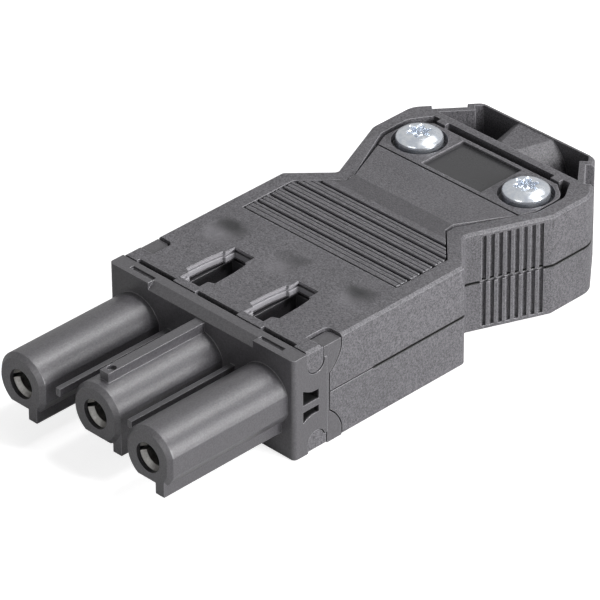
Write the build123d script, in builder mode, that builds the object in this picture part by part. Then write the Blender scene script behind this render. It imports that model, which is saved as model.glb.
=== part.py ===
from build123d import *
import os

os.makedirs("parts", exist_ok=True)

# Three-pole female installation connector with a screwed strain relief, in millimetres.
# +Y runs towards the cable end, +X to the right, +Z up, and the flat underside lies on Z = 0.
# The origin is the middle of the outline on the underside.

# Poles
pole_count = 3
pole_pitch = 10.0

# Lengths along Y, one after the other from the barrels' mouths to the cable end
barrel_length = 17.4
flange_depth = 5.1
shank_length = 21.5
waist_run = 4.5
grip_run = 10.0
rear_straight = 6.3
rear_taper = 6.5

# Widths and heights
flange_step = 0.1
rear_step = 0.15
back_width = 17.4
seam_gap = 0.2
bore_axis_z = 7.05

# Walls and clearances of the housing
roof_wall = 1.5
side_wall = 1.2
waist_wall = 2.0
fit_gap = 0.12
edge_bevel = 0.3
plan_round = 0.8
rear_corner_round = 3.0
back_corner_round = 1.5

# Barrels of the insert
barrel_d = 7.3
barrel_flat_drop = 3.2
barrel_side_flat = 3.45
barrel_bevel = 0.5
middle_setback = 1.7
mouth_d = 3.6
mouth_length = 0.55
socket_room_d = 5.1
fin_inner = (1.1, 2.15, 1.1)
fin_setback = (0.0, 0.5, 0.0)
fin_width = 1.3
fin_drop = 4.05

# Coding ribs between and on the barrels
key_rib_width = 1.35
key_rib_height = 4.75
key_rib_start = 3.2
key_pit_d = 1.1
key_pit_depth = 0.5
key_pit_from_end = 1.1
rail_width = 0.65
rail_height = 0.95
rail_rise = 1.35
rail_starts = (0.9, 2.1)

# Flange of the insert, measured back from its front face
flange_front = 2.1
lap_step = 1.55
bevel_half_width = 8.2
bevel_size = 0.9
flange_round = 0.5
window_start = 1.4
window_width = 2.4
window_front = (4.35, 8.55)
window_middle = (4.83, 7.98)
window_rear = (4.88, 7.85)
window_bulge_at = 1.0
window_bar_z = 6.2
window_bar = 0.85
window_depth = 1.9
ear_thickness = 2.0
ear_reach = 2.2
ear_lead = 0.6
ear_ledge = 0.35
ear_root = 4.1
ear_swell = (1.45, 3.0)
ear_straight = 1.4
ear_drop = 0.35
ear_round = 0.7
ear_gap = 0.17
ear_side_gap = 0.3
tongue_thickness = 1.0
tongue_width = 2.4
tongue_reaches = (2.5, 2.95)
land_depth = 0.5
land_spans = ((-12.3, -6.5), (-3.1, 3.4), (7.2, 12.3))
strip_recess_width = 3.6
strip_recess_x = 10.1
strip_recess_depth = 0.3
strip_recess_start = 0.75
strip_recess_length = 0.6

# Contact chambers behind the flange
chamber_width = 6.0
chamber_wall = 0.85
chamber_length = 11.0
chamber_side_gap = 0.1
chamber_floor_gap = 0.25
chamber_roof_gap = 0.35
web_thickness = 1.0
driver_window = 4.2

# Contacts, clamping blocks and their screws
contact_bore_d = 3.1
contact_d = 4.1
contact_lead = 0.35
contact_lead_length = 0.6
finger_length = 9.0
finger_slit = 0.5
spring_wall = 0.3
spring_length = 5.0
spring_setback = 1.2
spring_gap_width = 1.6
shank_d = 3.0
collar_length = 1.4
block_width = 4.9
block_length = 7.6
block_bottom = 2.75
block_height = 6.85
seat_depth = 2.1
wire_height = 2.8
wire_drop = 1.45
room_over_block = 1.95
thread_d = 3.0
running_gap = 0.05
set_screw_length = 4.0
driver_slot_width = 0.6
driver_slot_depth = 0.9

# Roof openings between the poles: half widths, with their distances from the flange's front face
well_half = ((1.45, 3.25), (1.45, 4.6), (2.25, 4.95), (2.15, 7.9), (1.9, 10.1), (1.55, 10.2), (1.55, 11.7))
well_lip = 0.3
well_groove = 0.4
well_groove_depth = 0.35

# Strain-relief plate: widths, and distances from the flange's front face
plate_front = 18.4
front_rim = 2.25
plate_corner = 26.2
neck_half = 7.65
neck_start = 30.4
neck_end = 31.7
rear_rim = 1.85
pad_start = 40.6
pad_end = 44.9
pad_round = 2.0
plate_tail_half = 9.6
plate_end = 46.6
plate_gap = 0.25
pad_gap = 0.5
front_gap = 0.25
end_gap = 1.0
plate_thickness = 2.4
rib_pitch = 1.95
rib_grooves = 5
rib_groove_width = 0.5
rib_groove_depth = 0.55
fine_width = 0.2
fine_depth = 0.14
fine_per_rib = 2
ramp_start = 29.3
ramp_top = 31.6
ramp_rise = 0.25
platform_start = 38.7
platform_drop = 0.2
line_width = 0.3
line_depth = 0.25
lip_length = 1.45
lip_thickness = 0.9
lip_inset = 1.2
lip_gap = 0.12
hinge_bar_start = 16.3
hinge_ledge = 0.83
label_width = 9.2
label_length = 6.8
label_start = 39.3
label_depth = 0.4
bridge_half = 4.9
bridge_length = 4.4
bridge_drop = 1.1
bridge_arch_d = 10.4
bridge_arch_rise = 0.9

# Strain-relief screws
screw_spacing = 16.7
screw_from_flange = 42.8
head_d = 5.6
head_crown = ((0.0, 2.4), (1.4, 2.33), (2.1, 2.12))
head_band = 1.7
head_seat_drop = 1.1
head_room_d = 6.6
screw_length = 8.0
screw_tip = 0.5
screw_hole_d = 3.9
recess_d = 2.8
recess_depth = 1.3
boss_d = 6.0
boss_drop = 0.45
screw_bore_floor = 1.3

# Cable end
cross_wall_start = 47.6
cross_wall = 1.0
nib_width = 1.3
nib_length = 0.7
nib_x = 8.9
pocket_base = 0.8
back_wall = 0.55
end_wall = 0.75
cable_d = 9.0
hood_front_half = 1.1
hood_back_half = 2.7
hood_base_half = 4.95
hood_bulge = 0.9
hood_drop = 0.15
saddle_reach = 0.6
notch_start = 2.35
notch_length = 4.2
notch_depth = 1.0
notch_height = 4.0

# Finger grooves on the flared sides
grip_count = 8
grip_first = 2.45
grip_pitch = 1.0
grip_width = 0.55
grip_depth = 0.4
grip_ledge = 0.6
seam_relief = 0.4
seam_relief_depth = 0.5

# Widths and heights worked out from the sizes above
neck_room_half = neck_half + plate_gap
shank_width = pole_pitch * (pole_count - 1) + chamber_width + 2 * (chamber_side_gap + side_wall)
flange_width = shank_width + 2 * flange_step
rear_width = shank_width - 2 * rear_step
waist_width = 2 * (neck_room_half + waist_wall)
plate_half = shank_width / 2 - front_rim - plate_gap
pad_half = rear_width / 2 - rear_rim - pad_gap
lip_half = plate_half - lip_inset
wire_width = thread_d + 2 * running_gap
shell_height = block_bottom + block_height + room_over_block + roof_wall

# Places worked out from the sizes above
run_lengths = (barrel_length, flange_depth, shank_length, waist_run, grip_run, rear_straight, rear_taper)
total_length = sum(run_lengths)
mouth_y = -total_length / 2
flange_y = mouth_y + barrel_length
body_y = flange_y + flange_depth
shank_end_y = body_y + shank_length
waist_y = shank_end_y + waist_run
grip_end_y = waist_y + grip_run
straight_end_y = grip_end_y + rear_straight
back_y = straight_end_y + rear_taper
seam_z = shell_height / 2
lower_top = seam_z - seam_gap / 2
upper_bottom = seam_z + seam_gap / 2
roof_z = shell_height - roof_wall
chamber_bottom = roof_wall + chamber_floor_gap
chamber_top = roof_z - chamber_roof_gap
boss_top = lower_top - boss_drop
pocket_floor = upper_bottom + pocket_base
ear_top = shell_height - ear_drop
pole_xs = [pole_pitch * (i - (pole_count - 1) / 2) for i in range(pole_count)]
well_xs = [(a + b) / 2 for a, b in zip(pole_xs, pole_xs[1:])]
middle_pole = pole_count // 2
barrel_starts = [mouth_y + (middle_setback if i == middle_pole else 0) for i in range(pole_count)]
lap_y = flange_y + flange_front
flange_top = shell_height - fit_gap
chamber_end_y = body_y + chamber_length
block_y = chamber_end_y - block_length
block_top = block_bottom + block_height
wire_z = bore_axis_z - wire_drop
screw_y = flange_y + screw_from_flange
platform_z = shell_height - platform_drop
plate_bottom = platform_z - plate_thickness
seat_z = platform_z - head_seat_drop
plate_y = flange_y + plate_front
opening_y = plate_y - front_gap
cross_wall_y = flange_y + cross_wall_start
pocket_y = cross_wall_y + cross_wall
lip_axis_z = plate_bottom + lip_thickness / 2
lip_axis_y = plate_y - lip_length + lip_thickness / 2
hinge_bar_bottom = plate_bottom - lip_gap - hinge_ledge
well_end_y = flange_y + well_half[-1][1]


def mirrored(points):
    """Right-hand points, closed by their mirror image on the left."""
    return points + [(-x, y) for x, y in reversed(points)]


housing_right = [
    (shank_width / 2, body_y),
    (shank_width / 2, shank_end_y),
    (waist_width / 2, waist_y),
    (rear_width / 2, grip_end_y),
    (rear_width / 2, straight_end_y),
    (back_width / 2, back_y),
]
plate_right = [
    (plate_half, plate_y),
    (plate_half, flange_y + plate_corner),
    (neck_half, flange_y + neck_start),
    (neck_half, flange_y + neck_end),
    (pad_half, flange_y + pad_start),
    (pad_half, flange_y + pad_end),
    (plate_tail_half, flange_y + plate_end),
]
# Room round the strain-relief plate, back to the cross wall
room_right = [
    (neck_room_half, flange_y + neck_start),
    (neck_room_half, flange_y + neck_end),
    (pad_half + pad_gap, flange_y + pad_start),
    (pad_half + pad_gap, flange_y + pad_end),
    (plate_tail_half + end_gap, cross_wall_y),
]
opening_right = [
    (plate_half + plate_gap, opening_y),
    (plate_half + plate_gap, flange_y + plate_corner),
] + room_right
inside_right = [
    (shank_width / 2 - side_wall, body_y),
    (shank_width / 2 - side_wall, shank_end_y - side_wall / 2),
] + room_right
# Corner radii of the outlines, with their places along Y
housing_rounds = [
    (shank_end_y, plan_round),
    (waist_y, plan_round),
    (grip_end_y, plan_round),
    (straight_end_y, rear_corner_round),
    (back_y, back_corner_round),
]
pad_rounds = [(flange_y + pad_start, pad_round), (flange_y + pad_end, pad_round)]
tongue_y = lap_y + fit_gap + tongue_width / 2


def plan(points, z, rounds=()):
    """Closed outline on a level from its right-hand points, with rounded corners where asked."""
    with BuildSketch(Plane.XY.offset(z)) as outline:
        with BuildLine():
            Polyline(*mirrored(points), close=True)
        make_face()
        for y, radius in rounds:
            fillet([corner for corner in outline.vertices() if abs(corner.Y - y) < fit_gap / 2], radius)
    return outline.sketch


def well_outline(well_x, z):
    """Outline of one opening in the roof, on a level."""
    right = [(well_x + half, flange_y + along) for half, along in well_half]
    left = [(2 * well_x - x, y) for x, y in reversed(right)]
    with BuildSketch(Plane.XY.offset(z)) as outline:
        with BuildLine():
            Polyline(*right, *left, close=True)
        make_face()
    return outline.sketch


def ear_blocks(top, grow, side_gap):
    """Ears behind both ends of the flange, joined by a narrow ledge, and grown for their room."""
    low_arc = [
        (body_y + ear_reach, ear_straight),
        (body_y + ear_swell[0], ear_swell[1]),
        (body_y + ear_ledge, ear_root),
    ]
    high_arc = [(y, shell_height - z) for y, z in reversed(low_arc)]
    depth = ear_thickness + side_gap
    with BuildPart() as blocks:
        for side in (-1, 1):
            with BuildSketch(Plane.YZ.offset(side * (shank_width / 2 + grow))):
                with BuildLine():
                    Polyline(
                        high_arc[-1],
                        (body_y + ear_reach, top),
                        (body_y - ear_lead, top),
                        (body_y - ear_lead, flange_top - lap_step),
                        (body_y, flange_top - lap_step),
                        (body_y, fit_gap),
                        (body_y + ear_reach, fit_gap),
                        low_arc[0],
                    )
                    ThreePointArc(*low_arc)
                    Line(low_arc[-1], high_arc[0])
                    ThreePointArc(*high_arc)
                make_face()
                if grow:
                    offset(amount=grow, kind=Kind.INTERSECTION)
            extrude(amount=-side * (depth + grow))
        inner_x = shank_width / 2 - depth
        rear_y = body_y + ear_reach + grow
        with BuildSketch() as outline:
            with Locations((0, rear_y - shell_height / 2)):
                Rectangle(2 * shank_width, shell_height)
                Rectangle(2 * inner_x, shell_height, mode=Mode.SUBTRACT)
            rear_corners = outline.vertices().group_by(Axis.Y)[-1].sort_by(Axis.X)
            fillet(rear_corners[1:-1], ear_round)
        extrude(amount=2 * shell_height, both=True, mode=Mode.INTERSECT)
    return blocks.part


def barrel_section(pole_x, start_y):
    """Round section with a flat underside and a flat right side, across the pole's axis."""
    with BuildSketch(Plane.XZ.offset(-start_y)) as section:
        with Locations((pole_x, bore_axis_z)):
            Circle(barrel_d / 2)
        with Locations((pole_x + barrel_side_flat + barrel_d / 2, bore_axis_z)):
            Rectangle(barrel_d, 2 * barrel_d, mode=Mode.SUBTRACT)
        with Locations((pole_x, bore_axis_z - barrel_flat_drop - barrel_d / 2)):
            Rectangle(2 * barrel_d, barrel_d, mode=Mode.SUBTRACT)
    return section.sketch


# Insert: flange, barrels and contact chambers in one moulding
ears = ear_blocks(ear_top, 0, 0)
with BuildPart() as contact_carrier:
    with BuildSketch(Plane.XY.offset(fit_gap)):
        with Locations((0, flange_y + flange_depth / 2)):
            Rectangle(flange_width, flange_depth)
    extrude(amount=flange_top - fit_gap)
    fillet(contact_carrier.edges().filter_by(Axis.Z).group_by(Axis.Y)[0], flange_round)
    # Laps above and below, where the shells reach over the flange
    for lap_z in (fit_gap + lap_step / 2, flange_top - lap_step / 2):
        with Locations((0, (lap_y + body_y) / 2, lap_z)):
            Box(flange_width, body_y - lap_y, lap_step, mode=Mode.SUBTRACT)
    # Bevel along the middle of the front edge
    with BuildSketch(Plane.YZ.offset(-bevel_half_width)):
        with BuildLine():
            Polyline(
                (flange_y, flange_top),
                (flange_y + bevel_size, flange_top),
                (flange_y, flange_top - bevel_size),
                close=True,
            )
        make_face()
    extrude(amount=2 * bevel_half_width, mode=Mode.SUBTRACT)
    # Shallow recesses in the strip above the flange
    for side in (-1, 1):
        recess_y = flange_y + strip_recess_start + strip_recess_length / 2
        with Locations((side * strip_recess_x, recess_y, flange_top)):
            Box(strip_recess_width, strip_recess_length, 2 * strip_recess_depth, mode=Mode.SUBTRACT)
    # Barrels, each with a bevelled nose, a flat underside and a fin
    for pole_x, start_y, inner, setback in zip(pole_xs, barrel_starts, fin_inner, fin_setback):
        extrude(barrel_section(pole_x, flange_y), amount=flange_y - start_y - barrel_bevel)
        extrude(barrel_section(pole_x, start_y + barrel_bevel), amount=barrel_bevel, taper=45)
        fin_length = flange_y - start_y - setback
        fin_x = pole_x + inner + fin_width / 2
        with Locations((fin_x, flange_y - fin_length / 2, bore_axis_z - fin_drop / 2)):
            Box(fin_width, fin_length, fin_drop)
    # Coding rib on the middle barrel, with a small pit near its front end
    key_start_y = mouth_y + key_rib_start
    with Locations((0, (flange_y + key_start_y) / 2, bore_axis_z + key_rib_height / 2)):
        Box(key_rib_width, flange_y - key_start_y, key_rib_height)
    with Locations((0, key_start_y + key_pit_from_end, bore_axis_z + key_rib_height)):
        Cylinder(key_pit_d / 2, 2 * key_pit_depth, mode=Mode.SUBTRACT)
    # Coding rails between the barrels
    for well_x, rail_start in zip(well_xs, rail_starts):
        rail_length = flange_y - mouth_y - rail_start
        with Locations((well_x, flange_y - rail_length / 2, bore_axis_z + rail_rise - rail_height / 2)):
            Box(rail_width, rail_length, rail_height)
    # Chambers for the clamping blocks, a box behind each barrel, open to the rear
    chamber_z = (chamber_bottom + chamber_top) / 2
    for pole_x in pole_xs:
        with Locations((pole_x, (body_y + chamber_end_y) / 2, chamber_z)):
            Box(chamber_width, chamber_length, chamber_top - chamber_bottom)
        inside_y = (body_y + chamber_end_y) / 2 + chamber_wall
        with Locations((pole_x, inside_y, block_bottom + block_height / 2)):
            Box(block_width + 2 * fit_gap, chamber_length, block_height + 2 * fit_gap, mode=Mode.SUBTRACT)
        with Locations((pole_x, block_y + block_length / 2, chamber_top)):
            Box(driver_window, driver_window, 2 * (chamber_top - block_top), mode=Mode.SUBTRACT)
    # Webs between the chambers, behind the openings in the roof
    for well_x in well_xs:
        with Locations((well_x, well_end_y + web_thickness / 2, chamber_z)):
            Box(pole_pitch - chamber_width, web_thickness, chamber_top - chamber_bottom)
    # Rooms for the socket contacts, and their narrower mouths
    for pole_x, start_y in zip(pole_xs, barrel_starts):
        room_y = start_y + mouth_length
        with BuildSketch(Plane.XZ.offset(-body_y - 2 * chamber_wall)):
            with Locations((pole_x, bore_axis_z)):
                Circle(socket_room_d / 2)
        extrude(amount=body_y + 2 * chamber_wall - room_y, mode=Mode.SUBTRACT)
        with BuildSketch(Plane.XZ.offset(-room_y)):
            with Locations((pole_x, bore_axis_z)):
                Circle(mouth_d / 2)
        extrude(amount=mouth_length, mode=Mode.SUBTRACT)
    # Latch windows in both sides, flared towards the front, with a bar across
    window_y = flange_y + window_start
    for side in (-1, 1):
        with BuildSketch(Plane.YZ.offset(side * flange_width / 2)):
            with BuildLine():
                edges = []
                for front, middle, rear in zip(window_front, window_middle, window_rear):
                    arc = ThreePointArc(
                        (window_y, front),
                        (window_y + window_bulge_at, middle),
                        (window_y + window_width, rear),
                    )
                    edges.append(arc)
                Line(edges[0] @ 0, edges[1] @ 0)
                Line(edges[0] @ 1, edges[1] @ 1)
            make_face()
            with Locations((window_y + window_width / 2, window_bar_z)):
                Rectangle(window_width, window_bar, mode=Mode.SUBTRACT)
        extrude(amount=-side * window_depth, mode=Mode.SUBTRACT)
    # Ears that reach back into the corners of the shells
    add(ears)
    # Recesses for the round-ended side tongues of both shells
    for side in (-1, 1):
        for root_z, reach in zip((0, shell_height), tongue_reaches):
            with BuildSketch(Plane.YZ.offset(side * flange_width / 2)):
                with Locations((tongue_y, root_z)):
                    SlotOverall(2 * (reach + fit_gap), tongue_width + 2 * fit_gap, rotation=90)
            extrude(amount=-side * (flange_step + tongue_thickness + fit_gap), mode=Mode.SUBTRACT)
contact_carrier.part.label = "contact_carrier"
export_step(contact_carrier.part, "parts/contact_carrier.step")

# Socket contacts: slit sockets with a closed rear shank, turned in one piece
for number, (pole_x, start_y) in enumerate(zip(pole_xs, barrel_starts), 1):
    tip_y = start_y + mouth_length + fit_gap
    shank_y = block_y
    with BuildPart() as socket_contact:
        with BuildSketch(Plane.YZ.offset(pole_x)):
            with BuildLine():
                Polyline(
                    (tip_y, bore_axis_z + contact_bore_d / 2 + contact_lead),
                    (tip_y, bore_axis_z + contact_d / 2),
                    (shank_y - fit_gap, bore_axis_z + contact_d / 2),
                    (shank_y - fit_gap, bore_axis_z + shank_d / 2),
                    (shank_y + seat_depth, bore_axis_z + shank_d / 2),
                    (shank_y + seat_depth, bore_axis_z),
                    (shank_y - collar_length, bore_axis_z),
                    (shank_y - collar_length, bore_axis_z + contact_bore_d / 2),
                    (tip_y + contact_lead_length, bore_axis_z + contact_bore_d / 2),
                    close=True,
                )
            make_face()
        revolve(axis=Axis((pole_x, 0, bore_axis_z), (0, 1, 0)))
        with Locations((pole_x, tip_y + finger_length / 2, bore_axis_z)):
            Box(2 * contact_d, finger_length, finger_slit, mode=Mode.SUBTRACT)
    socket_contact.part.label = f"socket_contact_{number}"
    export_step(socket_contact.part, f"parts/socket_contact_{number}.step")

    # Open steel ring that presses the two halves of the socket together
    with BuildPart() as contact_spring:
        with BuildSketch(Plane.XZ.offset(-tip_y - spring_setback)):
            with Locations((pole_x, bore_axis_z)):
                Circle(contact_d / 2 + spring_wall)
                Circle(contact_d / 2, mode=Mode.SUBTRACT)
            with Locations((pole_x, bore_axis_z - contact_d / 2)):
                Rectangle(spring_gap_width, contact_d / 2, mode=Mode.SUBTRACT)
        extrude(amount=-spring_length)
    contact_spring.part.label = f"contact_spring_{number}"
    export_step(contact_spring.part, f"parts/contact_spring_{number}.step")

    # Clamping block: the contact's shank in front, the wire behind, the screw from above
    with BuildPart() as clamping_block:
        with Locations((pole_x, block_y + block_length / 2, block_bottom + block_height / 2)):
            Box(block_width, block_length, block_height)
        with BuildSketch(Plane.XZ.offset(-block_y)):
            with Locations((pole_x, bore_axis_z)):
                Circle(shank_d / 2)
        extrude(amount=-seat_depth, mode=Mode.SUBTRACT)
        with BuildSketch(Plane.XZ.offset(-block_y - block_length)):
            with Locations((pole_x, wire_z)):
                Rectangle(wire_width, wire_height)
        extrude(amount=block_length - seat_depth - fit_gap, mode=Mode.SUBTRACT)
        with BuildSketch(Plane.XY.offset(block_top)):
            with Locations((pole_x, block_y + block_length / 2)):
                Circle(thread_d / 2 + running_gap)
        extrude(amount=wire_z - block_top, mode=Mode.SUBTRACT)
    clamping_block.part.label = f"clamping_block_{number}"
    export_step(clamping_block.part, f"parts/clamping_block_{number}.step")

    # Headless clamping screw, turned back to let the wire in
    with BuildPart() as terminal_screw:
        with BuildSketch(Plane.XY.offset(wire_z + wire_height / 2)):
            with Locations((pole_x, block_y + block_length / 2)):
                Circle(thread_d / 2)
        extrude(amount=set_screw_length)
        with Locations((pole_x, block_y + block_length / 2, wire_z + wire_height / 2 + set_screw_length)):
            Box(thread_d, driver_slot_width, 2 * driver_slot_depth, mode=Mode.SUBTRACT)
    terminal_screw.part.label = f"terminal_screw_{number}"
    export_step(terminal_screw.part, f"parts/terminal_screw_{number}.step")


def housing_half(low, high, lap_z, rim_group):
    """Solid outline of one housing half with its lap over the flange, its outer rim bevelled."""
    lap_front = lap_y + fit_gap
    with BuildPart() as half:
        extrude(plan(housing_right, low, housing_rounds), amount=high - low)
        with Locations((0, (lap_front + body_y) / 2, lap_z)):
            Box(shank_width, body_y - lap_front, roof_wall)
        rim = half.faces().filter_by(Axis.Z).group_by(Axis.Z)[rim_group].edges()
        chamfer(rim.filter_by_position(Axis.Y, lap_front, back_y, inclusive=(False, True)), edge_bevel)
    return half.part


def tongues(root_z, reach):
    """Round-ended tongues that close over the flange's sides, rooted at one level."""
    with BuildPart() as pair:
        for side in (-1, 1):
            with BuildSketch(Plane.YZ.offset(side * shank_width / 2)):
                with Locations((tongue_y, root_z)):
                    SlotOverall(2 * reach, tongue_width, rotation=90)
            extrude(amount=-side * tongue_thickness)
        with Locations((0, tongue_y, shell_height / 2)):
            Box(2 * shank_width, 2 * tongue_width, shell_height - 2 * edge_bevel, mode=Mode.INTERSECT)
    return pair.part


def taper_point(along, inward):
    """Point on the right-hand rear taper, from its front corner and in from its outer face."""
    front = Vector(rear_width / 2, straight_end_y)
    run = (Vector(back_width / 2, back_y) - front).normalized()
    point = front + run * along + Vector(-run.Y, run.X) * inward
    return (point.X, point.Y)


def taper_at(y, inward):
    """Width of the line that lies in from the rear taper's outer face, where it crosses y."""
    near, far = taper_point(0, inward), taper_point(1, inward)
    return near[0] + (far[0] - near[0]) * (y - near[1]) / (far[1] - near[1])


# Finger grooves in the flared sides, for both shells
with BuildPart() as grip_grooves:
    for side in (-1, 1):
        along = Vector(side * (rear_width - waist_width) / 2, grip_run)
        flank = Plane(origin=(side * waist_width / 2, waist_y, grip_ledge), x_dir=along, z_dir=(0, 0, 1))
        with BuildSketch(flank):
            for number in range(grip_count):
                with Locations((grip_first + grip_pitch * number, 0)):
                    Rectangle(grip_width, 2 * grip_depth)
        extrude(amount=shell_height - 2 * grip_ledge)
        # Wider joint line along the grooves
        with BuildSketch(flank.offset(seam_z - seam_relief / 2 - grip_ledge)):
            with Locations((grip_first + grip_pitch * (grip_count - 1) / 2, 0)):
                Rectangle(grip_pitch * grip_count, 2 * seam_relief_depth)
        extrude(amount=seam_relief)

# Round way for the cable through the rear end, half in each shell
with BuildPart() as cable_way:
    with BuildSketch(Plane.XZ.offset(-cross_wall_y)):
        with Locations((0, seam_z)):
            Circle(cable_d / 2)
    extrude(amount=cross_wall_y - back_y)

# Lower shell
ear_rooms = ear_blocks(shell_height, ear_gap, ear_side_gap)
lower_outline = housing_half(0, lower_top, roof_wall / 2, 0)
lower_tongues = tongues(0, tongue_reaches[0])
with BuildPart() as lower_shell:
    add(lower_outline)
    add(plan(inside_right, roof_wall))
    extrude(amount=lower_top - roof_wall, mode=Mode.SUBTRACT)
    add(ear_rooms, mode=Mode.SUBTRACT)
    add(lower_tongues)
    add(grip_grooves.part, mode=Mode.SUBTRACT)
    add(cable_way.part, mode=Mode.SUBTRACT)
    # Bosses that the strain-relief screws cut their thread into
    screw_places = [(side * screw_spacing / 2, screw_y) for side in (-1, 1)]
    with BuildSketch(Plane.XY.offset(roof_wall)):
        with Locations(*screw_places):
            Circle(boss_d / 2)
    extrude(amount=boss_top - roof_wall)
    with BuildSketch(Plane.XY.offset(boss_top)):
        with Locations(*screw_places):
            Circle(thread_d / 2 + running_gap)
    extrude(amount=screw_bore_floor - boss_top, mode=Mode.SUBTRACT)
    # Saddle that the cable lies on under the strain-relief plate
    with BuildSketch(Plane.XZ.offset(-screw_y + bridge_length / 2)):
        with Locations((0, (roof_wall + boss_top) / 2)):
            Rectangle(2 * bridge_half, boss_top - roof_wall)
        with Locations((0, seam_z + saddle_reach)):
            Circle(cable_d / 2, mode=Mode.SUBTRACT)
    extrude(amount=-bridge_length)
lower_shell.part.label = "lower_shell"
export_step(lower_shell.part, "parts/lower_shell.step")

# Upper shell
upper_outline = housing_half(upper_bottom, shell_height, shell_height - roof_wall / 2, -1)
upper_tongues = tongues(shell_height, tongue_reaches[1])
with BuildPart() as upper_shell:
    add(upper_outline)
    add(plan(inside_right, upper_bottom))
    extrude(amount=roof_z - upper_bottom, mode=Mode.SUBTRACT)
    # Gaps between the roof's front edge and the flange's front strip
    for left, right in land_spans:
        with Locations(((left + right) / 2, lap_y + fit_gap, shell_height)):
            Box(right - left, 2 * land_depth, 4 * roof_wall, mode=Mode.SUBTRACT)
    add(ear_rooms, mode=Mode.SUBTRACT)
    add(upper_tongues)
    # Openings in the roof between the poles, with a groove under their rim
    for well_x in well_xs:
        extrude(well_outline(well_x, shell_height), amount=-2 * roof_wall, mode=Mode.SUBTRACT)
        with BuildSketch(Plane.XY.offset(shell_height - well_lip)):
            add(well_outline(well_x, shell_height - well_lip))
            offset(amount=well_groove_depth, kind=Kind.INTERSECTION)
        extrude(amount=-well_groove, mode=Mode.SUBTRACT)
    # Bar under the roof with a groove for the front lip of the strain-relief plate
    bar_y = flange_y + hinge_bar_start
    with Locations((0, (bar_y + opening_y) / 2, (hinge_bar_bottom + roof_z) / 2)):
        Box(shank_width - 2 * side_wall, opening_y - bar_y, roof_z - hinge_bar_bottom)
    with BuildSketch(Plane.YZ.offset(-lip_half - lip_gap)):
        with Locations((lip_axis_y, lip_axis_z)):
            Circle(lip_thickness / 2 + lip_gap)
        with Locations(((lip_axis_y + opening_y) / 2, lip_axis_z)):
            Rectangle(opening_y - lip_axis_y, lip_thickness + 2 * lip_gap)
    extrude(amount=2 * (lip_half + lip_gap), mode=Mode.SUBTRACT)
    # Cut-out for the strain-relief plate, and the nibs behind its tail
    extrude(plan(opening_right, roof_z, pad_rounds), amount=roof_wall, mode=Mode.SUBTRACT)
    for side in (-1, 1):
        with Locations((side * nib_x, cross_wall_y - nib_length / 2, (pocket_floor + shell_height) / 2)):
            Box(nib_width, nib_length, shell_height - pocket_floor)
    # Pockets at the cable end, with walls that follow the notches in the rear corners
    notch_end = notch_start + notch_length
    pocket_right = [
        (taper_at(pocket_y, notch_depth + end_wall), pocket_y),
        taper_point(notch_end + end_wall, notch_depth + end_wall),
        taper_point(notch_end + end_wall, end_wall),
        (taper_at(back_y - back_wall, end_wall), back_y - back_wall),
    ]
    add(plan(pocket_right, pocket_floor))
    extrude(amount=shell_height - pocket_floor, mode=Mode.SUBTRACT)
    with BuildSketch(Plane.XY.offset(shell_height)):
        with BuildLine():
            Polyline(
                taper_point(notch_start, -notch_depth),
                taper_point(notch_start, notch_depth),
                taper_point(notch_end, notch_depth),
                taper_point(notch_end, -notch_depth),
                close=True,
            )
        make_face()
        mirror(about=Plane.YZ)
    extrude(amount=-notch_height, mode=Mode.SUBTRACT)
    # Hood over the cable's way, flat on top and wider towards the rear
    hood_top = shell_height - hood_drop
    for hood_y, half_top in ((pocket_y, hood_front_half), (back_y - edge_bevel, hood_back_half)):
        with BuildSketch(Plane.XZ.offset(-hood_y)):
            with BuildLine():
                Line((-half_top, hood_top), (half_top, hood_top))
                SagittaArc((half_top, hood_top), (hood_base_half, pocket_floor), hood_bulge)
                Line((hood_base_half, pocket_floor), (-hood_base_half, pocket_floor))
                SagittaArc((-hood_base_half, pocket_floor), (-half_top, hood_top), hood_bulge)
            make_face()
    loft()
    add(cable_way.part, mode=Mode.SUBTRACT)
    add(grip_grooves.part, mode=Mode.SUBTRACT)
upper_shell.part.label = "upper_shell"
export_step(upper_shell.part, "parts/upper_shell.step")

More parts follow.
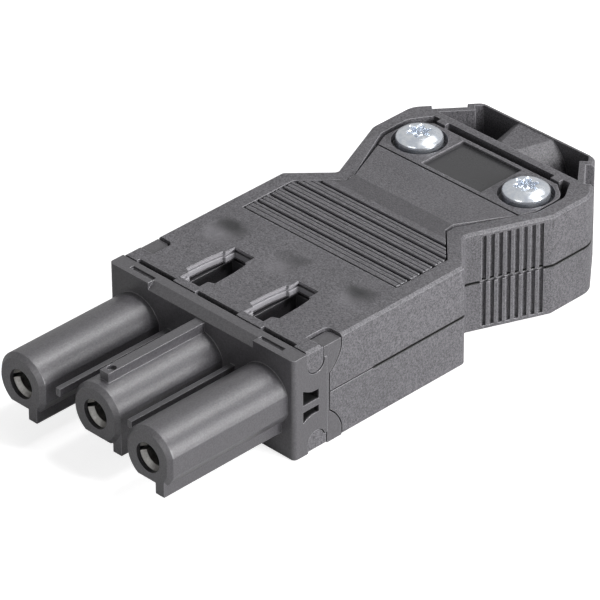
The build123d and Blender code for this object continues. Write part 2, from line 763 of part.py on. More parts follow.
# Strain-relief plate: ribbed thumb area, ramp, and a platform with the screw seats
with BuildPart() as clamp_plate:
    extrude(plan(plate_right, plate_bottom, pad_rounds), amount=shell_height + ramp_rise - plate_bottom)
    # Side view of the top: level, up the ramp, and down to the platform
    with BuildSketch(Plane.YZ.offset(-plate_half)):
        with BuildLine():
            Polyline(
                (plate_y, shell_height),
                (flange_y + ramp_start, shell_height),
                (flange_y + ramp_top, shell_height + ramp_rise),
                (flange_y + platform_start, platform_z),
                (flange_y + plate_end, platform_z),
                (flange_y + plate_end, shell_height + roof_wall),
                (plate_y, shell_height + roof_wall),
                close=True,
            )
        make_face()
    extrude(amount=2 * plate_half, mode=Mode.SUBTRACT)
    # Grooves between the ribs, and the fine lines along each rib
    for number in range(rib_grooves + 1):
        groove_y = plate_y + rib_pitch * number
        if number > 0:
            with Locations((0, groove_y, shell_height)):
                Box(2 * plate_half, rib_groove_width, 2 * rib_groove_depth, mode=Mode.SUBTRACT)
        if number < rib_grooves:
            for fine in range(1, fine_per_rib + 1):
                with Locations((0, groove_y + rib_pitch * fine / (fine_per_rib + 1), shell_height)):
                    Box(2 * plate_half, fine_width, 2 * fine_depth, mode=Mode.SUBTRACT)
    # Line across the front of the platform
    with Locations((0, flange_y + platform_start, platform_z)):
        Box(2 * plate_half, line_width, 2 * line_depth, mode=Mode.SUBTRACT)
    # Recess for a label between the screws
    with Locations((0, flange_y + label_start + label_length / 2, platform_z)):
        Box(label_width, label_length, 2 * label_depth, mode=Mode.SUBTRACT)
    # Arched bridge underneath that presses on the cable
    with BuildSketch(Plane.XZ.offset(-screw_y + bridge_length / 2)):
        with Locations((0, plate_bottom - bridge_drop / 2)):
            Rectangle(2 * bridge_half, bridge_drop)
        with Locations((0, plate_bottom - bridge_drop - bridge_arch_d / 2 + bridge_arch_rise)):
            Circle(bridge_arch_d / 2, mode=Mode.SUBTRACT)
    extrude(amount=-bridge_length)
    # Round-nosed lip that hooks under the roof, where the plate tips
    with BuildSketch(Plane.YZ.offset(-lip_half)):
        with Locations((lip_axis_y, lip_axis_z)):
            Circle(lip_thickness / 2)
        with Locations(((lip_axis_y + plate_y) / 2, lip_axis_z)):
            Rectangle(plate_y - lip_axis_y, lip_thickness)
    extrude(amount=2 * lip_half)
    # Seats and clearance holes for the screws
    with Locations(*[(x, y, platform_z) for x, y in screw_places]):
        CounterBoreHole(screw_hole_d / 2, head_room_d / 2, head_seat_drop)
clamp_plate.part.label = "clamp_plate"
export_step(clamp_plate.part, "parts/clamp_plate.step")

# Strain-relief screws: pan head with a star recess, plain shank
for side, name in ((-1, "clamp_screw_left"), (1, "clamp_screw_right")):
    screw_x = side * screw_spacing / 2
    with BuildPart() as clamp_screw:
        with BuildSketch(Plane.XZ.offset(-screw_y)):
            with BuildLine():
                Polyline(
                    *[(screw_x + out, seat_z + up) for out, up in head_crown],
                    (screw_x + head_d / 2, seat_z + head_band),
                    (screw_x + head_d / 2, seat_z),
                    (screw_x + thread_d / 2, seat_z),
                    (screw_x + thread_d / 2, seat_z - screw_length + screw_tip),
                    (screw_x + thread_d / 2 - screw_tip, seat_z - screw_length),
                    (screw_x, seat_z - screw_length),
                    close=True,
                )
            make_face()
        revolve(axis=Axis((screw_x, screw_y, 0), (0, 0, 1)))
        with BuildSketch(Plane.XY.offset(seat_z + head_crown[0][1])):
            with Locations((screw_x, screw_y)):
                RegularPolygon(recess_d / 2, 3)
                RegularPolygon(recess_d / 2, 3, rotation=180)
        extrude(amount=-recess_depth, mode=Mode.SUBTRACT)
    clamp_screw.part.label = name
    export_step(clamp_screw.part, f"parts/{name}.step")
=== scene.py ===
# %% [markdown]
# A flat three-pole connector, socket side, dressed for the camera. Its solids come
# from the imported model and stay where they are. This script gives every moulded
# surface its texture and its softly rounded edges, puts real thread and a lobed
# drive on the screws, and lights it all on a pale table.

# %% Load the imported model
import math
from collections import namedtuple

import bmesh
import bpy
from mathutils import Matrix, Vector


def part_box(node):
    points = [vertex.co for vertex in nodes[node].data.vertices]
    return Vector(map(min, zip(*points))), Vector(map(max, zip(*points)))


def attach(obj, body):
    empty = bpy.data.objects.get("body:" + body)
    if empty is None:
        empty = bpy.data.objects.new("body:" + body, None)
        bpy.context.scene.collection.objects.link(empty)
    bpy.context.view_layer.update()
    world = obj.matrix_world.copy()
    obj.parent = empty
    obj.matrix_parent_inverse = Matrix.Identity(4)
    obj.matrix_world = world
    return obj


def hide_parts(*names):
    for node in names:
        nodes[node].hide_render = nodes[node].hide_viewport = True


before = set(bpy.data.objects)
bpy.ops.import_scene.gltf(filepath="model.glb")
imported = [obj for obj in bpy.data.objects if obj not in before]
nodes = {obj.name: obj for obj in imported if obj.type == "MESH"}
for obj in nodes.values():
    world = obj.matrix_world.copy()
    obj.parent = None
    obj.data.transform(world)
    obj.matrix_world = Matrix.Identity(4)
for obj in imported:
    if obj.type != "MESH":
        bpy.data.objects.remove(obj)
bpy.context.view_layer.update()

mm = 0.001

# %% [markdown]
# The camera and the lamps all look at the object from some direction. Two angles
# name it: the azimuth goes round the object, from 0 in front of it, and the
# elevation goes up. One helper turns the angles into a direction, and another turns
# a camera or a lamp so that it looks back along that direction.

# %% Directions
def toward(azimuth, elevation):
    """Direction from the object to a place at this azimuth and elevation, in radians."""
    return Vector((
        math.sin(azimuth) * math.cos(elevation),
        -math.cos(azimuth) * math.cos(elevation),
        math.sin(elevation),
    ))


def looking_back(direction):
    """Turn that makes a camera or a lamp look against a direction, with its top up."""
    return direction.to_track_quat("Z", "Y").to_matrix().to_4x4()


print("front:", [round(value, 3) for value in toward(0, 0)])

# %% [markdown]
# The camera stands far away with a long lens, as in a catalogue picture, so that
# parallel edges stay almost parallel. Its place comes from the object's straight
# edges: three directions of edges meet in three vanishing points, and those give
# the angle, the distance and the lens.

# %% Camera
camera_azimuth = math.radians(45.54)
camera_elevation = math.radians(32.66)
camera_roll = math.radians(-0.585)
camera_place = Vector((342.37, -339.0, 314.92)) * mm
lens_mm = 308.8
film_width_mm = 36

camera_data = bpy.data.cameras.new("camera")
camera_data.lens = lens_mm
camera_data.sensor_width = film_width_mm
camera = bpy.data.objects.new("camera", camera_data)
camera_turn = looking_back(toward(camera_azimuth, camera_elevation))
camera.matrix_world = Matrix.Translation(camera_place) @ camera_turn @ Matrix.Rotation(camera_roll, 4, "Z")
bpy.context.scene.collection.objects.link(camera)
bpy.context.scene.camera = camera
print("camera", round(camera_place.length / mm), "mm away, lens", lens_mm)

# %% [markdown]
# A finish is a tree of nodes, and most of a script that builds one is spent on
# adding nodes and joining their sockets. A few small helpers take that over. They
# take outputs of other nodes or plain values, and most return an output that the
# next one can use, so a finish reads like a sum.

# %% Helpers for nodes
def feed(tree, socket, value):
    """Link an output to a socket, or write a plain value into it."""
    if isinstance(value, bpy.types.NodeSocket):
        tree.links.new(value, socket)
    else:
        socket.default_value = value


def add_node(tree, kind, inputs=None, **settings):
    """Node with its settings made and its inputs fed; inputs are named or counted."""
    node = tree.nodes.new(kind)
    for setting, value in settings.items():
        setattr(node, setting, value)
    for label, value in (inputs or {}).items():
        feed(tree, node.inputs[label], value)
    return node


def math_node(tree, operation, first, second=None):
    """Math on one or two numbers; returns the result's output."""
    inputs = {0: first} if second is None else {0: first, 1: second}
    return add_node(tree, "ShaderNodeMath", inputs, operation=operation).outputs[0]


def vector_node(tree, operation, inputs):
    """Math on vectors; returns the number where it gives one, or else the vector."""
    node = add_node(tree, "ShaderNodeVectorMath", inputs, operation=operation)
    return node.outputs["Value" if operation in ("DOT_PRODUCT", "LENGTH") else "Vector"]


def map_range(tree, value, low=0.0, high=1.0, start=0.0, end=1.0, **settings):
    """Value between start and end, spread from low to high; returns its output."""
    inputs = {"Value": value, "From Min": start, "From Max": end, "To Min": low, "To Max": high}
    return add_node(tree, "ShaderNodeMapRange", inputs, **settings).outputs["Result"]


def noise(tree, bumps_per_metre, detail):
    """Noise on object coordinates, which are metres; returns its node."""
    place = add_node(tree, "ShaderNodeTexCoord").outputs["Object"]
    inputs = {"Vector": place, "Scale": bumps_per_metre, "Detail": detail}
    return add_node(tree, "ShaderNodeTexNoise", inputs)


print("helpers for nodes ready")

# %% [markdown]
# What several finishes share is built once, as a node group with named inputs and
# outputs. This helper makes an empty one, and returns its two end nodes with it.

# %% Helper for groups
number = "NodeSocketFloat"
vector = "NodeSocketVector"


def new_group(name, inputs, outputs):
    """Shader node group with inputs of (label, kind, value) and outputs of (label, kind)."""
    group = bpy.data.node_groups.new(name, "ShaderNodeTree")
    for label, kind, value in inputs:
        socket = group.interface.new_socket(label, in_out="INPUT", socket_type=kind)
        if value is not None:
            socket.default_value = value
    for label, kind in outputs:
        group.interface.new_socket(label, in_out="OUTPUT", socket_type=kind)
    return group, group.nodes.new("NodeGroupInput"), group.nodes.new("NodeGroupOutput")


print("kinds of sockets:", number, vector)

# %% [markdown]
# Moulded plastic never has knife edges: the mould leaves a tiny radius that catches
# the light. A Bevel node bends the normal near each edge, so the rounding shows
# without a single extra face. Where that normal leaves the true one there is an
# edge, and this difference makes a mask for a painted highlight on the edges.

# %% Group for rounded edges and the mask of their painted highlight
bevel_samples = 6
edges, edges_in, edges_out = new_group(
    "rounded edges",
    [("Radius", number, 0.12 * mm), ("Highlight Gain", number, 1.0)],
    [("Normal", vector), ("Edge", number)],
)
bevel = add_node(edges, "ShaderNodeBevel", {"Radius": edges_in.outputs["Radius"]}, samples=bevel_samples)
true_normal = add_node(edges, "ShaderNodeNewGeometry").outputs["Normal"]
likeness = vector_node(edges, "DOT_PRODUCT", {0: bevel.outputs["Normal"], 1: true_normal})
bend = math_node(edges, "SUBTRACT", 1.0, likeness)
# share of the painted edge highlight
highlight_share = math_node(edges, "MULTIPLY", bend, edges_in.outputs["Highlight Gain"])
feed(edges, edges_out.inputs["Edge"], math_node(edges, "MINIMUM", highlight_share, 1.0))
feed(edges, edges_out.inputs["Normal"], bevel.outputs["Normal"])
print("group:", edges.name)

# %% [markdown]
# The housing's texture was burnt into the mould by sparks, which leaves tiny craters
# of many sizes. Two noises, one a few times finer than the other, give that grain.
# Its height goes to the bump and its value to the colour, because the floors of the
# craters stay darker. A third noise has patches of about a centimetre, for the slow
# cloudiness of large faces.

# %% Group for spark-eroded grain
fine_height = 0.5
shade_start, shade_end = 0.55, 0.95
clouds_per_metre = 90.0
grain, grain_in, grain_out = new_group(
    "eroded grain",
    [("Size", number, 0.25 * mm), ("Fineness", number, 2.5)],
    [("Height", number), ("Shade", number), ("Cloud", number)],
)
coarse_scale = math_node(grain, "DIVIDE", 1.0, grain_in.outputs["Size"])
fine_scale = math_node(grain, "MULTIPLY", coarse_scale, grain_in.outputs["Fineness"])
coarse = noise(grain, coarse_scale, detail=2.0).outputs[0]
fine = noise(grain, fine_scale, detail=1.0).outputs[0]
height = math_node(grain, "ADD", coarse, math_node(grain, "MULTIPLY", fine, fine_height))
feed(grain, grain_out.inputs["Height"], height)
feed(grain, grain_out.inputs["Shade"], map_range(grain, height, start=shade_start, end=shade_end))
feed(grain, grain_out.inputs["Cloud"], noise(grain, clouds_per_metre, detail=3.0).outputs[0])
print("group:", grain.name)

# %% [markdown]
# Some finishes fill only a part of one moulding: the recess between the screws has a
# polished floor, and over each pole the roof has sunk a little as the thick plastic
# behind it cooled. One group marks such a zone. It measures how far a point lies
# from a middle in each direction, as shares of the zone's half size. The x
# coordinate is folded first, so one zone can serve both sides or come back at each
# pole.

# %% Group that marks a zone: its shares
outline_warp = 1.2
zone, zone_in, zone_out = new_group(
    "marked zone",
    [
        ("Middle", vector, None), ("Half Size", vector, None),
        ("Fold", number, None), ("Warp", number, outline_warp),
    ],
    [("Box", number), ("Round", number)],
)
spot = add_node(zone, "ShaderNodeTexCoord").outputs["Object"]
apart = add_node(zone, "ShaderNodeSeparateXYZ", {0: spot}).outputs
folded = math_node(zone, "PINGPONG", math_node(zone, "ABSOLUTE", apart["X"]), zone_in.outputs["Fold"])
joined = add_node(zone, "ShaderNodeCombineXYZ", {"X": folded, "Y": apart["Y"], "Z": apart["Z"]}).outputs[0]
offset = vector_node(zone, "SUBTRACT", {0: joined, 1: zone_in.outputs["Middle"]})
distance = vector_node(zone, "ABSOLUTE", {0: offset})
shares = vector_node(zone, "DIVIDE", {0: distance, 1: zone_in.outputs["Half Size"]})
print("group:", zone.name)

# %% [markdown]
# The group then gives two masks. The box is one wherever all three shares are under
# one, with a sharp outline. The round mask fades from the middle to a share of one,
# and a noise pushes its outline about, because plastic never sinks in a perfect
# circle.

# %% Group that marks a zone: its two masks
warps_per_metre = 240.0
noise_middle = (0.5, 0.5, 0.5)
each = add_node(zone, "ShaderNodeSeparateXYZ", {0: shares}).outputs
widest = math_node(zone, "MAXIMUM", math_node(zone, "MAXIMUM", each["X"], each["Y"]), each["Z"])
feed(zone, zone_out.inputs["Box"], math_node(zone, "LESS_THAN", widest, 1.0))
wander = noise(zone, warps_per_metre, detail=2.0).outputs["Color"]
centred = vector_node(zone, "SUBTRACT", {0: wander, 1: noise_middle})
pushed = vector_node(zone, "SCALE", {0: centred, "Scale": zone_in.outputs["Warp"]})
reach = vector_node(zone, "LENGTH", {0: vector_node(zone, "ADD", {0: shares, 1: pushed})})
fade = map_range(zone, reach, start=1.0, end=0.0, interpolation_type="SMOOTHERSTEP")
feed(zone, zone_out.inputs["Round"], fade)
print("masks:", [item.name for item in zone.interface.items_tree if item.in_out == "OUTPUT"])

# %% [markdown]
# A material keeps its own shader and takes the groups with its own values. Three
# more helpers are used by plastic and metal alike: a new material, a colour between
# two colours, and the surface, which is the rounded edge with the grain's bump on it.

# %% Helpers for materials
def new_material(name):
    """Empty material; returns it with its tree and its shader."""
    material = bpy.data.materials.new(name)
    material.use_nodes = True
    return material, material.node_tree, material.node_tree.nodes["Principled BSDF"]


def mix_colour(tree, factor, low, high):
    """Colour between two colours; returns its output."""
    low, high = (value if isinstance(value, bpy.types.NodeSocket) else (*value, 1) for value in (low, high))
    inputs = {"A": low, "B": high, "Factor": factor}
    return add_node(tree, "ShaderNodeMix", inputs, data_type="RGBA").outputs["Result"]


def bump_surface(tree, shader, height, depth, normal):
    """Bump of this height and depth on top of the normal, fed to the shader."""
    bump = add_node(tree, "ShaderNodeBump", {"Distance": depth, "Height": height, "Normal": normal})
    feed(tree, shader.inputs["Normal"], bump.outputs["Normal"])


print("helpers for materials ready")

# %% [markdown]
# A zone of a finish says where it lies, in millimetres, and what it changes there:
# the tone and how strongly it shows, the roughness if the zone is polished, and how
# deep it has sunk, counted in heights of the grain. The fold is the x at which the
# zone turns back. Half the pole pitch brings it back at each pole, and a fold beyond
# the object's width only makes the left side a mirror of the right.

# %% Zones
Zone = namedtuple("Zone", "mask middle half fold tone strength rough dent", defaults=(None, 0))
at_each_pole = 5.0
both_sides = 100.0
print("a zone has:", Zone._fields)

# %% [markdown]
# One function makes all the plastics, because they differ only in how dark, how
# shiny and how rough they are. The grain darkens and lightens the colour a little,
# a slow cloud keeps large faces from looking painted, and the edges get a painted
# highlight, a lighter tone. Then come the zones, one on top of the other.

# %% Plastic
# how strongly the painted highlight on the edges shows
edge_highlight_gain = 2.5
cloud_strength = 0.6
sunk_patchiness = 1.8


def plastic(name, dark, light, rough, grain_size, grain_depth, edge_radius, edge_highlight_tone, shine, zones=()):
    """Moulded plastic: two tones, the range of its roughness, its grain, edges, shine and zones."""
    material, tree, shader = new_material(name)
    shader.inputs["Specular IOR Level"].default_value = shine
    surface = add_node(tree, "ShaderNodeGroup", {"Size": grain_size}, node_tree=grain).outputs
    rim_inputs = {"Radius": edge_radius, "Highlight Gain": edge_highlight_gain}
    rim = add_node(tree, "ShaderNodeGroup", rim_inputs, node_tree=edges).outputs
    tone = mix_colour(tree, surface["Shade"], dark, light)
    tone = mix_colour(tree, map_range(tree, surface["Cloud"], high=cloud_strength), tone, dark)
    # painted highlight: the edges are toned lighter
    tone = mix_colour(tree, rim["Edge"], tone, edge_highlight_tone)
    roughness = map_range(tree, surface["Cloud"], *rough)
    height = surface["Height"]
    for mark in zones:
        marked = add_node(tree, "ShaderNodeGroup", {
            "Middle": [value * mm for value in mark.middle],
            "Half Size": [value * mm for value in mark.half],
            "Fold": mark.fold * mm,
        }, node_tree=zone)
        share = math_node(tree, "MULTIPLY", marked.outputs[mark.mask], mark.strength)
        if mark.dent:
            height = math_node(tree, "SUBTRACT", height, math_node(tree, "MULTIPLY", share, mark.dent))
            patches = map_range(tree, surface["Cloud"], high=sunk_patchiness)
            share = math_node(tree, "MULTIPLY", share, patches)
        tone = mix_colour(tree, share, tone, mark.tone)
        if mark.rough is not None:
            inputs = {"A": roughness, "B": mark.rough, "Factor": share}
            roughness = add_node(tree, "ShaderNodeMix", inputs).outputs["Result"]
            height = math_node(tree, "MULTIPLY", height, math_node(tree, "SUBTRACT", 1.0, share))
    feed(tree, shader.inputs["Base Color"], tone)
    feed(tree, shader.inputs["Roughness"], roughness)
    bump_surface(tree, shader, height, grain_depth, rim["Normal"])
    return material


print("plastic is made by", plastic.__name__)

# %% [markdown]
# The upper and lower shells are one plastic. Over each pole the roof has a shallow
# dent, with a painted shadow behind its middle and a painted highlight before it.
# The walls of the two roof openings are painted pale as lit walls, and the faces
# along the joint between the shells are painted near black as shade.

# %% Housing plastic
housing_zones = (
    Zone("Round", middle=(0, -4.6, 13.05), half=(3.4, 3.0, 2.0), fold=at_each_pole,
         tone=(0.096, 0.093, 0.101), strength=1.0, dent=4.0),
    # painted shadow behind the middle of each dent, which also deepens the dent a little
    Zone("Round", middle=(0, -3.6, 13.05), half=(3.6, 2.0, 2.0), fold=at_each_pole,
         tone=(0.019, 0.019, 0.021), strength=1.0, dent=0.5),
    # painted highlight in front of each dent, which also deepens the dent a little
    Zone("Round", middle=(0, -6.2, 13.05), half=(3.2, 1.9, 2.0), fold=at_each_pole,
         tone=(0.208, 0.202, 0.218), strength=0.45, dent=0.5),
    # painted light: the walls of the roof openings are toned pale as if lit
    Zone("Box", middle=(5.0, -10.8, 12.35), half=(2.8, 4.4, 0.6), fold=both_sides,
         tone=(0.384, 0.376, 0.4), strength=0.9),
    # painted shade: the faces along the joint between the shells are toned near black
    Zone("Box", middle=(0, 15.0, 6.525), half=(20.0, 21.0, 0.19), fold=both_sides,
         tone=(0.006, 0.006, 0.006), strength=1.0),
)
housing = dict(
    dark=(0.044, 0.043, 0.047), light=(0.215, 0.208, 0.226), rough=(0.38, 0.6),
    grain_size=0.18 * mm, grain_depth=0.05 * mm,
    edge_radius=0.16 * mm, edge_highlight_tone=(0.432, 0.424, 0.448), shine=0.6,
)
housing_plastic = plastic("housing plastic", zones=housing_zones, **housing)
print(housing_plastic.name, "with zones:", len(housing_zones))

# %% [markdown]
# The strain-relief plate is the same plastic with zones of its own: the polished
# floor of the recess between its screws, a painted light in the bottoms of the fine
# lines between its ribs, and a painted shade on a band behind the ribs.

# %% Plate plastic
plate_zones = (
    Zone("Box", middle=(0, 24.45, 12.3), half=(4.7, 3.5, 0.3), fold=both_sides,
         tone=(0.032, 0.032, 0.034), strength=0.9, rough=0.25),
    # painted light: the bottoms of the fine lines between the ribs are toned pale
    Zone("Box", middle=(0, 5.3, 12.93), half=(12.0, 5.2, 0.09), fold=both_sides,
         tone=(0.384, 0.376, 0.4), strength=0.8),
    # painted shade: a darker band on the ramp behind the ribs
    Zone("Box", middle=(0, 12.2, 13.2), half=(12.0, 1.2, 0.2), fold=both_sides,
         tone=(0.056, 0.054, 0.059), strength=0.5),
)
plate_plastic = plastic("plate plastic", zones=plate_zones, **housing)
print(plate_plastic.name, "with zones:", len(plate_zones))

# %% [markdown]
# The front insert is a harder plastic from a smoother mould. It is a little darker
# and shinier, its grain is shallower, and inside the windows of its flange painted
# shade makes it dark.

# %% Insert plastic
# painted shade: the faces inside the flange's windows are toned near black
window_painted_shade = Zone("Box", middle=(13.0, -15.65, 6.45), half=(1.2, 1.3, 2.2), fold=both_sides,
                    tone=(0.016, 0.016, 0.016), strength=0.9)
insert_plastic = plastic(
    "insert plastic", zones=(window_painted_shade,),
    dark=(0.054, 0.052, 0.057), light=(0.116, 0.112, 0.122), rough=(0.24, 0.36),
    grain_size=0.2 * mm, grain_depth=0.022 * mm,
    edge_radius=0.14 * mm, edge_highlight_tone=(0.32, 0.312, 0.333), shine=1.0,
)
print(insert_plastic.name, "with zones: 1")

# %% [markdown]
# The metals are bright, so their look is mostly what they mirror. Zinc plating has a
# bluish cast and clouds of lighter and darker tone. A worn or plated surface is never
# quite flat either, so faint ripples break the reflection. The grain group makes both,
# with patches larger than its craters.

# %% Metals
metal_edge_radius = 0.03 * mm


def metal(name, dark, light, rough, patch_size, ripple, metallic=1.0):
    """Plated metal: two tones in patches, the range of its roughness, and its ripples."""
    material, tree, shader = new_material(name)
    shader.inputs["Metallic"].default_value = metallic
    surface = add_node(tree, "ShaderNodeGroup", {"Size": patch_size}, node_tree=grain).outputs
    rim = add_node(tree, "ShaderNodeGroup", {"Radius": metal_edge_radius}, node_tree=edges).outputs
    feed(tree, shader.inputs["Base Color"], mix_colour(tree, surface["Shade"], dark, light))
    feed(tree, shader.inputs["Roughness"], map_range(tree, surface["Shade"], *rough))
    bump_surface(tree, shader, surface["Height"], ripple, rim["Normal"])
    return material


screw_zinc = metal(
    "bright zinc", dark=(0.66, 0.705, 0.78), light=(0.8, 0.83, 0.87), rough=(0.18, 0.26),
    patch_size=1.1 * mm, ripple=0.001 * mm, metallic=0.9)
# the contacts are toned darker than bright silver; part of that is painted shade for their place deep in
# the sockets
contact_metal_shaded = metal(
    "silver plated", dark=(0.38, 0.37, 0.35), light=(0.57, 0.56, 0.54), rough=(0.3, 0.42),
    patch_size=0.5 * mm, ripple=0.006 * mm)
spring_steel = metal(
    "spring steel", dark=(0.42, 0.42, 0.43), light=(0.56, 0.56, 0.57), rough=(0.25, 0.4),
    patch_size=0.4 * mm, ripple=0.006 * mm)
block_nickel = metal(
    "nickel plated", dark=(0.6, 0.58, 0.53), light=(0.74, 0.72, 0.67), rough=(0.22, 0.38),
    patch_size=0.6 * mm, ripple=0.008 * mm)
print("metals:", screw_zinc.name, contact_metal_shaded.name, spring_steel.name, block_nickel.name)

# %% [markdown]
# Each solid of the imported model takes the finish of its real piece. Its mesh is left
# alone, and only its material slots change.

# %% Finishes on the solids
finishes = {
    "contact_carrier": insert_plastic,
    "upper_shell": housing_plastic,
    "lower_shell": housing_plastic,
    "clamp_plate": plate_plastic,
    "socket_contact": contact_metal_shaded,
    "contact_spring": spring_steel,
    "clamping_block": block_nickel,
    "clamp_screw": screw_zinc,
    "terminal_screw": screw_zinc,
}
for name, node in nodes.items():
    finish = next(value for start, value in finishes.items() if name.startswith(start))
    node.data.materials.clear()
    node.data.materials.append(finish)
print("finished solids:", len(nodes))

# %% [markdown]
# The screws are the brightest thing in the picture, so they get their real form. A
# screw is a turned piece, and could be a lathed curve, but its drive has six lobes
# and isn't round. So the body is a stack of rings around one axis, each with its own
# radius and height, and the rings of the drive have a radius that swells six times
# on the way round. Neighbouring rings are bridged with faces, and a point closes
# each end.

# %% Body from rings
lobes = 6


def ring_body(name, axis_at, rings, around=96):
    """Closed mesh from rings of (radius, swell, height) round an upright axis."""
    built = bmesh.new()
    loops = []
    for radius, swell, height in rings:
        if radius == 0:
            loops.append([built.verts.new((axis_at[0], axis_at[1], height))])
            continue
        loop = []
        for step in range(around):
            angle = 2 * math.pi * step / around
            reach = radius + swell * math.cos(lobes * angle)
            loop.append(built.verts.new((
                axis_at[0] + reach * math.cos(angle), axis_at[1] + reach * math.sin(angle), height)))
        loops.append(loop)
    for upper, lower in zip(loops, loops[1:]):
        for step in range(around):
            corners = [loop[index % len(loop)] for loop, index in (
                (upper, step), (upper, step + 1), (lower, step + 1), (lower, step))]
            built.faces.new(list(dict.fromkeys(corners)))
    for face in built.faces:
        face.smooth = True
    bmesh.ops.recalc_face_normals(built, faces=built.faces)
    mesh = bpy.data.meshes.new(name)
    built.to_mesh(mesh)
    built.free()
    piece = bpy.data.objects.new(name, mesh)
    bpy.context.scene.collection.objects.link(piece)
    return piece


print("lobes of the drive:", lobes)

# %% [markdown]
# The rings below are read from the middle of the drive's floor up its walls, over
# the domed head, down its flank, under the head and down the shank to its tip.
# Heights count from the seat of the head, which lies one shank's length above the
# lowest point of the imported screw.

# %% Pan head screws
shank_length = 8.0 * mm
drive_rings = [
    (0, 0, 1.2), (0.55, 0.14, 1.22), (1.05, 0.27, 1.26), (1.14, 0.29, 1.4),
    (1.19, 0.3, 2.14), (1.22, 0.3, 2.22), (1.3, 0.28, 2.29), (1.44, 0.2, 2.31),
]
head_rings = [
    (1.78, 0, 2.24), (2.05, 0, 2.13), (2.3, 0, 2.0), (2.5, 0, 1.89), (2.6, 0, 1.82),
    (2.69, 0, 1.73), (2.76, 0, 1.61), (2.79, 0, 1.48), (2.79, 0, 1.1), (2.79, 0, 0.2),
    (2.76, 0, 0.09), (2.68, 0, 0.02), (2.6, 0, 0.0),
]
shank_rings = [
    (1.45, 0, 0.0), (1.25, 0, -0.12), (1.2, 0, -0.3), (1.2, 0, -7.3),
    (0.9, 0, -7.9), (0.8, 0, -7.97), (0, 0, -7.98),
]
screw_bodies = {}
for side in ("left", "right"):
    low, high = (Vector(corner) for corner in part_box(f"clamp_screw_{side}"))
    seat = low.z + shank_length
    rings = [
        (radius * mm, swell * mm, seat + height * mm)
        for radius, swell, height in drive_rings + head_rings + shank_rings
    ]
    screw_bodies[side] = ring_body(f"panhead_screw_{side}", (low + high) / 2, rings)
    print("screw", side, "faces:", len(screw_bodies[side].data.polygons), "seat at", round(seat / mm, 2))

# %% [markdown]
# A thread is a ridge that climbs round the core, so it follows a path: the path is a
# spiral curve and the ridge a small four-cornered profile swept along it. Geometry
# Nodes have a spiral for this. Its radius, its length, the number of turns and the
# ridge's depth are inputs of one tree, so the coarse thread for plastic and the fine
# thread for metal come from the same nodes.

# %% Thread tree
steps_per_turn = 36
ridge_corners = 4
thread = bpy.data.node_groups.new("thread round a core", "GeometryNodeTree")
for label, kind in (
    ("Body", "NodeSocketGeometry"), ("Start", "NodeSocketVector"), ("Core Radius", "NodeSocketFloat"),
    ("Depth", "NodeSocketFloat"), ("Length", "NodeSocketFloat"), ("Turns", "NodeSocketFloat"),
    ("Finish", "NodeSocketMaterial"),
):
    thread.interface.new_socket(label, in_out="INPUT", socket_type=kind)
thread.interface.new_socket("Screw", in_out="OUTPUT", socket_type="NodeSocketGeometry")
given = thread.nodes.new("NodeGroupInput").outputs
made = thread.nodes.new("NodeGroupOutput").inputs
spiral = add_node(thread, "GeometryNodeCurveSpiral", {
    "Resolution": steps_per_turn, "Rotations": given["Turns"], "Height": given["Length"],
    "Start Radius": given["Core Radius"], "End Radius": given["Core Radius"],
})
level = add_node(thread, "GeometryNodeSetCurveNormal", {"Curve": spiral.outputs["Curve"]}, mode="Z_UP")
ridge = add_node(thread, "GeometryNodeCurvePrimitiveCircle", {
    "Resolution": ridge_corners, "Radius": given["Depth"],
})
sweep = add_node(thread, "GeometryNodeCurveToMesh", {
    "Curve": level.outputs["Curve"], "Profile Curve": ridge.outputs["Curve"], "Fill Caps": True,
})
put = add_node(thread, "GeometryNodeTransform", {
    "Geometry": sweep.outputs["Mesh"], "Translation": given["Start"],
})
together = add_node(thread, "GeometryNodeJoinGeometry")
for part in (given["Body"], put.outputs["Geometry"]):
    feed(thread, together.inputs[0], part)
solid = add_node(thread, "GeometryNodeRealizeInstances", {0: together.outputs[0]})
coat = add_node(thread, "GeometryNodeSetMaterial", {
    "Geometry": solid.outputs[0], "Material": given["Finish"],
})
feed(thread, made[0], coat.outputs["Geometry"])
print("tree:", thread.name)

# %% [markdown]
# The tree is put on a body as a modifier, its inputs are set, and the result is
# turned into a plain mesh. The faces are then made to point outwards.

# %% Add a thread to a body
def add_thread(piece, start, **sizes):
    """Run the thread tree on a body and keep the result as its plain mesh."""
    modifier = piece.modifiers.new("thread", "NODES")
    modifier.node_group = thread
    sockets = {item.name: item.identifier for item in thread.interface.items_tree if item.in_out == "INPUT"}
    modifier[sockets["Start"]] = start
    modifier[sockets["Finish"]] = screw_zinc
    for label, value in sizes.items():
        modifier[sockets[label.replace("_", " ").title()]] = value
    seen_piece = piece.evaluated_get(bpy.context.evaluated_depsgraph_get())
    mesh = bpy.data.meshes.new_from_object(seen_piece)
    piece.modifiers.remove(modifier)
    piece.data = mesh
    turned = bmesh.new()
    turned.from_mesh(mesh)
    bmesh.ops.recalc_face_normals(turned, faces=turned.faces)
    turned.to_mesh(mesh)
    turned.free()


print("a thread is added by", add_thread.__name__)

# %% [markdown]
# The two strain-relief screws cut their own way into plastic, so their thread is
# coarse and deep. It starts a little above the tip and ends under the head.

# %% Thread on the pan head screws
plastic_thread = dict(core_radius=1.16 * mm, depth=0.32 * mm, length=6.4 * mm, turns=5.3)
plastic_thread_start = 0.6 * mm

for side, piece in screw_bodies.items():
    low, high = (Vector(corner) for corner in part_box(f"clamp_screw_{side}"))
    middle = (low + high) / 2
    add_thread(piece, (middle.x, middle.y, low.z + plastic_thread_start), **plastic_thread)
    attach(piece, f"clamp_screw_{side}")
    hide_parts(f"clamp_screw_{side}")
    print(piece.name, "faces:", len(piece.data.polygons))

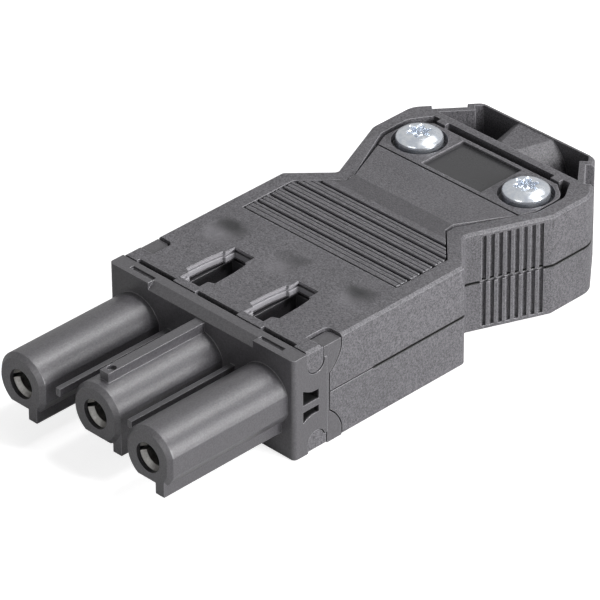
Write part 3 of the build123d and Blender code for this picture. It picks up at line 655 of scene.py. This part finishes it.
# %% [markdown]
# The terminal screws have no head, only a slot. Their body is a copy of the packed
# solid, which has the slot already, drawn in to the thread's core. The copy's loose
# triangles are merged first.

# %% Terminal screws
merge_distance = 0.001 * mm
core_share = 0.87
metal_thread = dict(core_radius=1.28 * mm, depth=0.2 * mm, length=3.5 * mm, turns=7.0)
metal_thread_start = 0.25 * mm

for pole in (1, 2, 3):
    node = nodes[f"terminal_screw_{pole}"]
    low, high = (Vector(corner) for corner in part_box(node.name))
    middle = (low + high) / 2
    core = bmesh.new()
    core.from_mesh(node.data)
    bmesh.ops.remove_doubles(core, verts=core.verts, dist=merge_distance)
    for point in core.verts:
        point.co.x = middle.x + (point.co.x - middle.x) * core_share
        point.co.y = middle.y + (point.co.y - middle.y) * core_share
    mesh = bpy.data.meshes.new(f"set_screw_{pole}")
    core.to_mesh(mesh)
    core.free()
    piece = bpy.data.objects.new(f"set_screw_{pole}", mesh)
    bpy.context.scene.collection.objects.link(piece)
    add_thread(piece, (middle.x, middle.y, low.z + metal_thread_start), **metal_thread)
    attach(piece, f"terminal_screw_{pole}")
    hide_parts(f"terminal_screw_{pole}")
    print(piece.name, "faces:", len(piece.data.polygons))

# %% [markdown]
# The object lies on a pale table, a plain plane just under it. A little light of the
# table's own, which only camera rays see, lifts it to white round the object's soft
# shadow and throws nothing onto the object.

# %% Table
table_size = 3.0
table_gap = 0.02 * mm
table_tone = 0.55
table_roughness = 0.8
camera_glow = 0.8

half = table_size / 2
table_mesh = bpy.data.meshes.new("table")
corners = [(x * half, y * half, -table_gap) for x, y in ((-1, -1), (1, -1), (1, 1), (-1, 1))]
table_mesh.from_pydata(corners, [], [(0, 1, 2, 3)])
table = bpy.data.objects.new("table", table_mesh)
bpy.context.scene.collection.objects.link(table)

pale, pale_tree, pale_shader = new_material("pale table")
pale_shader.inputs["Base Color"].default_value = (table_tone, table_tone, table_tone, 1)
pale_shader.inputs["Roughness"].default_value = table_roughness
pale_shader.inputs["Emission Color"].default_value = (1, 1, 1, 1)
camera_rays = add_node(pale_tree, "ShaderNodeLightPath").outputs["Is Camera Ray"]
glow = math_node(pale_tree, "MULTIPLY", camera_rays, camera_glow)
feed(pale_tree, pale_shader.inputs["Emission Strength"], glow)
table.data.materials.append(pale)
print("table", table.dimensions[:2])

# %% [markdown]
# Dark plastic lives from what it mirrors, so every lamp is a soft box. The one on
# the right lights the long side, and the one high above it the roof. Two weak ones,
# at the back and at the front, keep the faces there from going black. With the room
# and the table they light the roof at about one, the level at which a matt colour
# shows as it is written, the long side more and the front a little less.

# %% Lamps
def soft_box(name, azimuth_deg, elevation_deg, distance, size, watts):
    """Square area light, aimed at the object's middle."""
    direction = toward(math.radians(azimuth_deg), math.radians(elevation_deg))
    light = bpy.data.lights.new(name, "AREA")
    light.shape = "SQUARE"
    light.size = size
    light.energy = watts
    lamp = bpy.data.objects.new(name, light)
    lamp.matrix_world = Matrix.Translation(direction * distance) @ looking_back(direction)
    bpy.context.scene.collection.objects.link(lamp)


soft_box("right soft box", azimuth_deg=100, elevation_deg=20, distance=0.8, size=0.32, watts=7.8)
soft_box("back soft box", azimuth_deg=180, elevation_deg=55, distance=0.9, size=0.4, watts=0.62)
soft_box("top soft box", azimuth_deg=130, elevation_deg=66, distance=0.9, size=0.2, watts=3.9)
soft_box("front soft box", azimuth_deg=10, elevation_deg=12, distance=0.9, size=0.5, watts=1.4)

# %% [markdown]
# The room round the table is pale to the camera, to mirrors and through glass, and
# much dimmer as a light, so the lamps alone shape the object.

# %% Room
room_light = 0.07
room_seen = 0.6

world = bpy.data.worlds.new("pale room")
world.use_nodes = True
bpy.context.scene.world = world
room = world.node_tree
ray = add_node(room, "ShaderNodeLightPath").outputs
straight_or_mirrored = math_node(room, "MAXIMUM", ray["Is Camera Ray"], ray["Is Glossy Ray"])
looked_at = math_node(room, "MAXIMUM", straight_or_mirrored, ray["Is Transmission Ray"])
background = room.nodes["Background"]
background.inputs["Color"].default_value = (1, 1, 1, 1)
feed(room, background.inputs["Strength"], map_range(room, looked_at, low=room_light, high=room_seen))
bpy.context.scene.view_settings.view_transform = "Standard"
print("world:", world.name)
